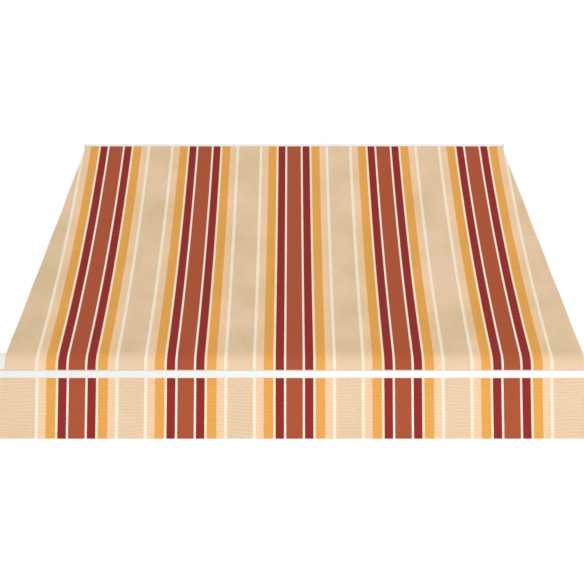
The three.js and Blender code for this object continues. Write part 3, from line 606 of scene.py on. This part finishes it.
def make_turned_stainless():
    """Turned stainless steel: bright, with fine rings left by the tool that stretch its highlights. The
    real feed is 0.1 mm a turn, too fine to show from here, so it is drawn at 0.35 mm."""
    feed = 0.00035
    material, tree, shader = new_material("turned_stainless", {"Metallic": 1.0, "Roughness": 0.3})
    lay = node(tree, "ShaderNodeUVMap", uv_map="turned_lay")
    place = node(tree, "ShaderNodeSeparateXYZ", {0: lay.outputs["UV"]})
    way = node(tree, "ShaderNodeMath", {0: place.outputs["Y"], 1: 1 / feed}, operation="MULTIPLY")
    ring = node(tree, "ShaderNodeTexNoise", {"W": way.outputs[0], "Scale": 1.0}, noise_dimensions="1D")
    spot = node(tree, "ShaderNodeTexCoord").outputs["Object"]
    cloud = node(tree, "ShaderNodeTexNoise", {"Vector": spot, "Scale": 90.0, "Detail": 3.0})
    shade = node(tree, "ShaderNodeMapRange", {"Value": cloud.outputs["Fac"], "To Min": 0.9, "To Max": 1.05})
    tint = node(
        tree, "ShaderNodeVectorMath", {0: linear("#c6c7c9")[:3], "Scale": shade.outputs[0]},
        operation="SCALE",
    )
    tree.links.new(tint.outputs[0], shader.inputs["Base Color"])
    rough = node(tree, "ShaderNodeMapRange", {"Value": ring.outputs["Fac"], "To Min": 0.2, "To Max": 0.42})
    tree.links.new(rough.outputs[0], shader.inputs["Roughness"])
    bump = node(
        tree, "ShaderNodeBump", {"Strength": 0.3, "Distance": 0.00003, "Height": ring.outputs["Fac"]}
    )
    tree.links.new(bump.outputs[0], shader.inputs["Normal"])
    return material


# The canopy's pull flattens its ribs and its slope takes the rain; its heavier clouding is also painted
# shade, faded out near the bar as painted light. The valance hangs loose and cleaner.
stretched_acrylic_painted_shade = make_woven_acrylic(
    "woven_acrylic_stretched_painted_shade", rib_depth=0.014, soiling_and_shade=1.5, painted_light_from=slope.along[-1] - 0.03
)
hanging_acrylic = make_woven_acrylic(
    "woven_acrylic_hanging", rib_depth=0.055, soiling_and_shade=0.45, painted_light_from=VALANCE_DROP
)
turned_stainless = make_turned_stainless()
# Soft PVC cord welded into the cloth's edge: smooth and a little waxy, with slow unevenness from the die.
pvc_keder = make_coat_or_moulding(
    "pvc_keder", "#eae7df", dust="#d9d3c6", grain_size=0.004, relief=0.00005, mottle=0.04,
    constants={"Roughness": 0.45},
)
# Extruded aluminium, powder coated white: a satin skin with the coat's faint orange peel, 2.2 mm across.
powder_coated_extrusion = make_coat_or_moulding(
    "powder_coated_extrusion", "#f7f7f4", dust="#ebe9e2", grain_size=0.0022, relief=0.00006, mottle=0.02,
    constants={"Roughness": 0.36, "IOR": 1.5},
)
# Sand-cast aluminium under the same coat: the mould's grain shows through. Grains of 0.3 mm are drawn
# at 1.4 mm to show.
powder_coated_casting = make_coat_or_moulding(
    "powder_coated_casting", "#f2f2ee", dust="#e2dfd6", grain_size=0.0014, relief=0.00016, mottle=0.05,
    constants={"Roughness": 0.46, "IOR": 1.5},
)
# Injection-moulded polyamide caps: matt, with a spark-eroded grain of 0.1 mm, drawn at 0.9 mm to show.
moulded_polyamide = make_coat_or_moulding(
    "moulded_polyamide", "#f2f2ef", dust="#e4e2da", grain_size=0.0009, relief=0.00008, mottle=0.02,
    constants={"Roughness": 0.52, "IOR": 1.53},
)
# Grey nylon bearing washers, moulded: waxy and matt, with a fine grain drawn at 1.2 mm to show.
nylon_washer = make_coat_or_moulding(
    "nylon_washer", "#93979c", dust="#a09e98", grain_size=0.0012, relief=0.00003, mottle=0.05,
    constants={"Roughness": 0.55, "IOR": 1.53},
)
# Glass-filled black nylon knobs, moulded: matt, with the speckle of fibres 0.3 mm long, drawn at 0.8 mm.
glass_filled_nylon = make_coat_or_moulding(
    "glass_filled_nylon", "#2a2b2d", dust="#4a4945", grain_size=0.0008, relief=0.00009, mottle=0.25,
    constants={"Roughness": 0.55, "IOR": 1.53},
)

finish_of = {
    "striped_cloth": stretched_acrylic_painted_shade,
    "keder_cord": pvc_keder,
    "profiles": powder_coated_extrusion,
    "castings": powder_coated_casting,
    "end_caps": moulded_polyamide,
    "steel": turned_stainless,
    "washers": nylon_washer,
    "knobs": glass_filled_nylon,
}
slot_of = {part["node"]: part["material_slot"] for part in frame["record"]["subparts"]}
for node_name, slot_name in slot_of.items():
    cad_mesh = frame["nodes"][node_name].data
    cad_mesh.materials.clear()
    cad_mesh.materials.append(finish_of[slot_name])


# Hardware

ARM_WIDTH = 0.020
RIVET_HEAD = 0.0016  # height
FIT = 0.0003  # clearance
BOLT_RADIUS = 0.005
PIN_RADIUS = 0.004
GROOVE_RADIUS = 0.003  # of the pin, where its clip sits
WASHER_THICKNESS = 0.0012
CHEEK_THICKNESS = 0.005
EAR_THICKNESS = 0.004
CHEEK_OUTSIDE = ARM_WIDTH / 2 + WASHER_THICKNESS + 2 * FIT + CHEEK_THICKNESS
EAR_OUTSIDE = ARM_WIDTH / 2 + WASHER_THICKNESS + 2 * FIT + EAR_THICKNESS
KNOB_THREAD = 0.015
BAR_PIN_TAIL = 0.005
CLIP_THICKNESS = 0.001
SCREW_SHANK = 0.013

# How far the edges of the pieces on each side are rounded
EDGE_RADIUS = {
    "wall_bracket": 0.0011,
    "arm_hub": 0.0012,
    "arm_eye": 0.0012,
    "arm_tube": 0.0003,
    "bar_bracket": 0.0009,
    "bar_cap": 0.0008,
    "rail_cap": 0.0005,
}

joints = {joint["name"]: joint for joint in frame["joints"]}


def pivot_of(joint_name):
    return Vector(joints[joint_name]["pos_m"])


def middle_of(node_name):
    lowest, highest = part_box(node_name)
    return (lowest + highest) / 2


def eased(node_name, radius):
    """A copy of a cast, sawn or moulded piece with its edges rounded over, which stands for that piece."""
    source = frame["nodes"][node_name]
    mesh = source.data.copy()
    form = bmesh.new()
    form.from_mesh(mesh)
    bmesh.ops.remove_doubles(form, verts=form.verts, dist=2e-6)
    bmesh.ops.dissolve_limit(form, angle_limit=math.radians(0.5), verts=form.verts, edges=form.edges)
    form.to_mesh(mesh)
    form.free()
    mesh.polygons.foreach_set("use_smooth", [True] * len(mesh.polygons))
    piece = bpy.data.objects.new(node_name + "_eased", mesh)
    bpy.context.scene.collection.objects.link(piece)
    rounding = piece.modifiers.new("rounded_edges", "BEVEL")
    rounding.width = radius
    rounding.segments = 3
    rounding.limit_method = "ANGLE"
    rounding.angle_limit = math.radians(40)
    rounding.use_clamp_overlap = False
    piece.modifiers.new("flat_faces", "WEIGHTED_NORMAL")
    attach(piece, body_of(source)[0])
    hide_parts(node_name)
    return piece


def turned(node_name, rings, centre, axle, closed=False, segments=48):
    """A piece turned about an axle, which stands for a node. A ring is (place along the axle, radius), and
    a radius may be a function of the angle. The rings run from the axle back to the axle, or round the
    section of a hollow piece if it is closed. Their length along the profile is what the tool marks of
    turned_stainless follow."""
    up = Vector((0, 0, 1))
    aside = axle.cross(up)
    profile = np.array([(place, radius(0) if callable(radius) else radius) for place, radius in rings])
    along = np.concatenate([[0.0], np.cumsum(np.linalg.norm(np.diff(profile, axis=0), axis=1))])
    vertices, spots, starts = [], [], []
    for (place, radius), length in zip(rings, along):
        starts.append(len(vertices))
        for i in range(1 if radius == 0 else segments):
            angle = 2 * math.pi * i / segments
            r = radius(angle) if callable(radius) else radius
            vertices.append(centre + axle * place + (up * math.cos(angle) + aside * math.sin(angle)) * r)
            spots.append((angle / (2 * math.pi), length))
    pairs = list(zip(range(len(rings)), range(1, len(rings))))
    if closed:
        pairs.append((len(rings) - 1, 0))
    faces = []
    for near, far in pairs:
        for i in range(segments):
            j = (i + 1) % segments
            if rings[near][1] == 0:
                faces.append((starts[near], starts[far] + j, starts[far] + i))
            elif rings[far][1] == 0:
                faces.append((starts[near] + i, starts[near] + j, starts[far]))
            else:
                faces.append((starts[near] + i, starts[near] + j, starts[far] + j, starts[far] + i))
    source = frame["nodes"][node_name]
    slot_name = slot_of[node_name]
    piece = new_piece(
        node_name + "_turned", vertices, faces, body_of(source)[0], slot_name, finish_of[slot_name],
        sharp=38,
    )
    set_lay(piece, spots, "turned_lay")
    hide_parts(node_name)
    return piece


def dome(face, radius, height):
    """Rings of a domed head, from its rim on a face to its crown."""
    turns = [math.pi / 2 * i / 7 for i in range(7)]
    return [(face + height * math.sin(a), radius * math.cos(a)) for a in turns] + [(face + height, 0)]


def hexagon(across):
    """The radius of a hexagon by angle, from its width across flats."""
    def radius(angle):
        return across / 2 / math.cos((angle + math.pi / 6) % (math.pi / 3) - math.pi / 6)
    return radius


def grip(share):
    """The clamp knob's five-lobed outline by angle, drawn in to a share of its full size."""
    def radius(angle):
        return share * (0.021 + 0.004 * math.cos(5 * angle))
    return radius


def pivot_bolt(name, hinge, outward):
    """A domed bolt through the cheeks, with its threaded end inside the knob."""
    tail = -CHEEK_OUTSIDE - FIT - KNOB_THREAD
    face = CHEEK_OUTSIDE + FIT
    rings = [(tail, 0), (tail, 0.0042), (tail + 0.0008, BOLT_RADIUS), (face, BOLT_RADIUS), (face, 0.0097)]
    turned(name, rings + dome(face + 0.0006, 0.010, 0.0044), hinge, outward)


def clamp_knob(name, face, inward):
    """A moulded five-lobed knob with a collar against the cheek and a blind thread for the bolt."""
    rings = [(0.0155, 0), (0.0155, 0.0053), (0.0005, 0.0053), (0, 0.0058), (0, 0.0103), (0.0007, 0.011)]
    rings += [(0.0043, 0.011), (0.0053, 0.0113), (0.0059, 0.0122), (0.0061, 0.0140)]
    rings += [(0.0061, grip(0.88)), (0.0065, grip(0.94)), (0.0074, grip(0.98)), (0.009, grip(0.998))]
    rings += [(0.013, grip(1)), (0.016, grip(0.998)), (0.0178, grip(0.98)), (0.0189, grip(0.945))]
    rings += [(0.0196, grip(0.89)), (0.0199, grip(0.82)), (0.0198, grip(0.74)), (0.0192, 0.0112)]
    rings += [(0.0189, 0.0086), (0.0191, 0.0080), (0.0197, 0.0077), (0.0199, 0.0070), (0.0200, 0)]
    turned(name, rings, face, inward, segments=120)


def stop_pin(name, centre, outward):
    """A plain pin across the cheeks, flush with both."""
    end = CHEEK_OUTSIDE
    rings = [(-end, 0), (-end, 0.0034), (-end + 0.0006, PIN_RADIUS)]
    rings += [(end - 0.0006, PIN_RADIUS), (end, 0.0034), (end, 0)]
    turned(name, rings, centre, outward)


def bar_pin(name, centre, outward):
    """A headed pin with a groove for its clip."""
    face = EAR_OUTSIDE + FIT
    groove = -face - CLIP_THICKNESS - FIT
    tail = -face - BAR_PIN_TAIL
    rings = [(tail, 0), (tail, 0.0032), (tail + 0.0008, PIN_RADIUS)]
    rings += [(groove, PIN_RADIUS), (groove, GROOVE_RADIUS), (-face + FIT, GROOVE_RADIUS)]
    rings += [(-face + FIT, PIN_RADIUS), (face, PIN_RADIUS)]
    rings += [(face, 0.0062), (face + 0.0003, 0.0065), (face + 0.0016, 0.0065), (face + 0.0023, 0.0061)]
    rings += [(face + 0.0025, 0.0054), (face + 0.0025, 0)]
    turned(name, rings, centre, outward)


def arm_rivet(name, centre, outward):
    """A rivet through tube and casting, domed at both ends."""
    face = ARM_WIDTH / 2 + FIT
    head = [(face, 0.0044)] + dome(face + 0.0002, 0.0045, RIVET_HEAD - 0.0002)
    tail = [(-place, radius) for place, radius in reversed(head)]
    turned(name, tail + [(-face, 0.0025), (face, 0.0025)] + head, centre, outward, segments=32)


def flat_ring(name, bore, outward):
    """A washer or clip of its node's size, with its rim eased."""
    lowest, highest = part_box(name)
    rim = (highest.z - lowest.z) / 2
    half = (highest.x - lowest.x) / 2
    ease_in = half / 3
    rings = [(-half, bore), (-half, rim - ease_in), (-half + ease_in, rim), (half - ease_in, rim)]
    rings += [(half, rim - ease_in), (half, bore)]
    turned(name, rings, (lowest + highest) / 2, outward, closed=True)


def bar_screw(name):
    """A button head screw with a hexagon socket. Its head lies on the bracket's back."""
    lowest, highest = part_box(name)
    middle = (lowest + highest) / 2
    face = Vector((middle.x, lowest.y + SCREW_SHANK, middle.z))
    head = highest.y - face.y
    socket = hexagon(0.003)
    rings = [(-SCREW_SHANK, 0), (-SCREW_SHANK, 0.0015), (0.002 - SCREW_SHANK, 0.0025)]
    rings += [(0, 0.0025), (0, 0.0043), (0.0003, 0.0045)]
    for a in (0, 0.4, 0.8, 1.2):
        rings.append((head * (0.3 + 0.7 * math.sin(a)), 0.0015 + 0.003 * math.cos(a)))
    rings += [(head, 0.0021), (head - 0.0001, socket), (head - 0.0018, socket), (head - 0.0021, 0)]
    turned(name, rings, face, Vector((0, 1, 0)))


bar_pin_at = pivot_of("front_bar_level")
for side, name in ((-1, "left"), (1, "right")):
    outward = Vector((side, 0, 0))
    hinge = pivot_of(name + "_arm_swing")
    pivot_bolt("pivot_bolt_" + name, hinge, outward)
    clamp_knob("clamp_knob_" + name, hinge - outward * (CHEEK_OUTSIDE + FIT), -outward)
    stop_pin("stop_pin_" + name, middle_of("stop_pin_" + name), outward)
    bar_pin("bar_pin_" + name, Vector((hinge.x, bar_pin_at.y, bar_pin_at.z)), outward)
    flat_ring("pin_clip_" + name, GROOVE_RADIUS, outward)
    for end in ("hub", "eye"):
        arm_rivet(f"{end}_rivet_{name}", middle_of(f"{end}_rivet_{name}"), outward)
    for place in ("inner", "outer"):
        flat_ring(f"hub_washer_{name}_{place}", BOLT_RADIUS + FIT, outward)
        flat_ring(f"eye_washer_{name}_{place}", PIN_RADIUS + FIT, outward)
    for place in ("lower", "upper"):
        bar_screw(f"bar_screw_{name}_{place}")
    for piece_name, radius in EDGE_RADIUS.items():
        eased(f"{piece_name}_{name}", radius)
eased("front_bar", radius=0.0004)
eased("head_rail", radius=0.0003)


# Canopy

SWAY = 0.0016
ROLL_MEMORY = 0.0002
ROLL_MEMORY_PITCH = 0.075
SIDE_FLUTTER = 0.0017
SIDE_FLUTTER_PITCH = 0.31
SIDE_FLUTTER_REACH = 0.12


def canopy_half(share):
    """Half the canopy's width at a share of the way from the rail to the bar."""
    width = HEAD_WIDTH + (FRONT_WIDTH - HEAD_WIDTH) * share
    return width / 2 + EDGE_BOW * 4 * share * (1 - share)


def canopy_ripple(x, along, share, half):
    """How far the cloth stands off its section line: a slow sway, the memory of its roll, and a flutter at
    its free sides. It is held flat at the rail and at the bar."""
    held = ease(share / 0.07) * ease((1 - share) / 0.06)
    sway = SWAY * noise.noise(Vector((x * 1.6, along * 2.4, 0.3)))
    strayed = along + 0.012 * noise.noise(Vector((x * 1.1, along, 4.0)))
    memory = ROLL_MEMORY * math.sin(2 * math.pi * strayed / ROLL_MEMORY_PITCH)
    slack = SIDE_FLUTTER * math.exp(-(half - abs(x)) / SIDE_FLUTTER_REACH)
    phase = 0.8 if x > 0 else 2.1
    flutter = slack * math.sin(2 * math.pi * along / SIDE_FLUTTER_PITCH + phase)
    return held * (sway + memory + flutter)


def held_flat(x, along, share, half):
    """The ripple of cloth that lies on the bar: none."""
    return 0.0


canopy = cloth_piece(
    "canopy_cloth", slope, canopy_half, canopy_ripple, count=150, body="wall_side", cloth=stretched_acrylic_painted_shade
)
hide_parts("canopy")
canopy_front = cloth_piece(
    "canopy_front_wrap", wrap, canopy_half, held_flat, count=60, body="front_bar", cloth=stretched_acrylic_painted_shade
)

canopy_seams = side_seams(slope, canopy_half, canopy_ripple, 0.012, slope.along[-1] - 0.002)
canopy_stitching = stitches("canopy_stitching", canopy_seams, "wall_side", stretched_acrylic_painted_shade)
wrap_seams = side_seams(wrap, canopy_half, held_flat, wrap.along[0] + 0.002, wrap.along[-1] - 0.008)
wrap_stitching = stitches("canopy_front_stitching", wrap_seams, "front_bar", stretched_acrylic_painted_shade)

# The arms are level at rest and lift the bar up towards the rail. The canopy and its stitching are given
# meshes of their own.
for piece in (canopy, canopy_stitching):
    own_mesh(piece)


def canopy_area(line):
    widths = np.array([2 * canopy_half(share) for share in line.share])
    return float(np.sum((widths[1:] + widths[:-1]) / 2 * np.diff(line.along)))


canopy_area(slope)


# Valance

FLUTES = 0.0008
WAVER = 0.0012
valance_low, valance_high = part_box("valance")
valance_half = (valance_high.x - valance_low.x) / 2
valance_out = -(valance_low.y + valance_high.y) / 2 + CLOTH_THICKNESS / 2
valance_top = valance_high.z
valance_foot = bar_foot - VALANCE_DROP


def valance_section():
    """The valance hangs straight from its slot, with rows close together at the foot hem."""
    above_hem = valance_foot + 0.034
    ups = list(np.linspace(valance_top, above_hem, 34))
    ups += [valance_foot + inside for inside in reversed(HEM_COLUMNS)]
    drop = valance_top - valance_foot
    return [(np.array([valance_out, up]), (valance_top - up) / drop) for up in ups]


def valance_half_at(share):
    return valance_half


def valance_ripple(x, along, share, half):
    """Soft flutes, and a waver, that grow towards the free edge."""
    free = ease((share - 0.04) / 0.96)
    flutes = math.sin(2 * math.pi * x / 0.53 + 0.6) + 0.6 * math.sin(2 * math.pi * x / 0.31 + 2.0)
    return free * (FLUTES * flutes + WAVER * noise.noise(Vector((x * 2.3, along * 3.0, 7.0))))


valance_line = Line(valance_section())
valance = cloth_piece(
    "valance_cloth", valance_line, valance_half_at, valance_ripple, count=170, body="front_bar",
    cloth=hanging_acrylic, foot_hem=True,
)
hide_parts("valance")
valance_seams = foot_seam(valance_line, valance_half_at, valance_ripple, STITCH_IN, STITCH_IN + 0.004)
valance_seams += side_seams(
    valance_line, valance_half_at, valance_ripple, 0.014, valance_line.along[-1] - STITCH_IN
)
valance_stitching = stitches("valance_stitching", valance_seams, "front_bar", hanging_acrylic)


# Studio

AMBIENT = 0.355  # the even light on the awning, as a share of the white that the eye sees
AWNING_MIDDLE = Vector((0, -0.6, -0.8))
FLOOR_BELOW = 1.35
CAMERA_PLACE = (-0.0095, -5.0227, -1.1076)
CAMERA_TILT = 5.2445  # degrees up
FOCAL_LENGTH = 1129.8  # pixels
PICTURE_WIDTH = 584  # pixels


def make_floor():
    """A pale matt floor. Seen directly it glows a little, so that it meets the white background."""
    material, tree, shader = new_material(
        "studio_floor", {"Roughness": 0.9, "Base Color": linear("#f2f2f0"), "Emission Color": (1, 1, 1, 1)}
    )
    path = node(tree, "ShaderNodeLightPath")
    glow = node(tree, "ShaderNodeMath", {0: path.outputs["Is Camera Ray"], 1: 0.5}, operation="MULTIPLY")
    tree.links.new(glow.outputs[0], shader.inputs["Emission Strength"])
    size, depth = 40.0, cad_low.z - FLOOR_BELOW
    corners = [(-size, -size, depth), (size, -size, depth), (size, size, depth), (-size, size, depth)]
    mesh = bpy.data.meshes.new("floor")
    mesh.from_pydata(corners, [], [(0, 1, 2, 3)])
    mesh.materials.append(material)
    floor = bpy.data.objects.new("floor", mesh)
    bpy.context.scene.collection.objects.link(floor)


def make_world():
    """White to the eye and in gloss, and a plain even light on everything else."""
    world = bpy.data.worlds.new("studio")
    bpy.context.scene.world = world
    world.use_nodes = True
    tree = world.node_tree
    path = node(tree, "ShaderNodeLightPath").outputs
    seen = node(
        tree, "ShaderNodeMath", {0: path["Is Camera Ray"], 1: path["Is Glossy Ray"]}, operation="MAXIMUM"
    )
    seen = node(
        tree, "ShaderNodeMath", {0: seen.outputs[0], 1: path["Is Transmission Ray"]}, operation="MAXIMUM"
    )
    strength = node(
        tree, "ShaderNodeMapRange", {"Value": seen.outputs[0], "To Min": AMBIENT, "To Max": 1.0}
    )
    background = tree.nodes["Background"]
    background.inputs["Color"].default_value = (1, 1, 1, 1)
    tree.links.new(strength.outputs[0], background.inputs["Strength"])


def add_sun(name, level, heading_deg, height_deg, softness):
    """A soft lamp at infinity. Level is the brightness that it gives a white surface facing it. Its
    heading is 0 from the front and 90 from the right."""
    data = bpy.data.lights.new(name, "SUN")
    data.energy = level * math.pi
    data.angle = math.radians(softness)
    lamp = bpy.data.objects.new(name, data)
    turn, rise = math.radians(heading_deg), math.radians(height_deg)
    towards = Vector((math.sin(turn) * math.cos(rise), -math.cos(turn) * math.cos(rise), math.sin(rise)))
    lamp.rotation_euler = towards.to_track_quat("Z", "Y").to_euler()
    bpy.context.scene.collection.objects.link(lamp)


def add_panel(name, level, place, size):
    """A square lamp that faces the awning's middle. Level is the brightness that it gives a white
    surface there that faces it."""
    data = bpy.data.lights.new(name, "AREA")
    data.size = size
    way = Vector(place) - AWNING_MIDDLE
    data.energy = level * math.pi ** 2 * way.length_squared
    lamp = bpy.data.objects.new(name, data)
    lamp.location = place
    lamp.rotation_euler = way.to_track_quat("Z", "Y").to_euler()
    bpy.context.scene.collection.objects.link(lamp)


make_world()
make_floor()
add_panel("front_light", level=0.675, place=(3.0, -12.5, -2.4), size=4.0)
add_sun("top_light", level=0.205, heading_deg=25, height_deg=68, softness=50)
add_sun("back_light", level=0.27, heading_deg=190, height_deg=35, softness=60)

camera_data = bpy.data.cameras.new("camera")
camera = bpy.data.objects.new("camera", camera_data)
camera_data.sensor_width = 36
camera_data.lens = camera_data.sensor_width * FOCAL_LENGTH / PICTURE_WIDTH
camera.location = CAMERA_PLACE
camera.rotation_euler = (math.radians(90 + CAMERA_TILT), 0, 0)
bpy.context.scene.collection.objects.link(camera)
bpy.context.scene.camera = camera

bpy.context.scene.view_settings.view_transform = "Standard"
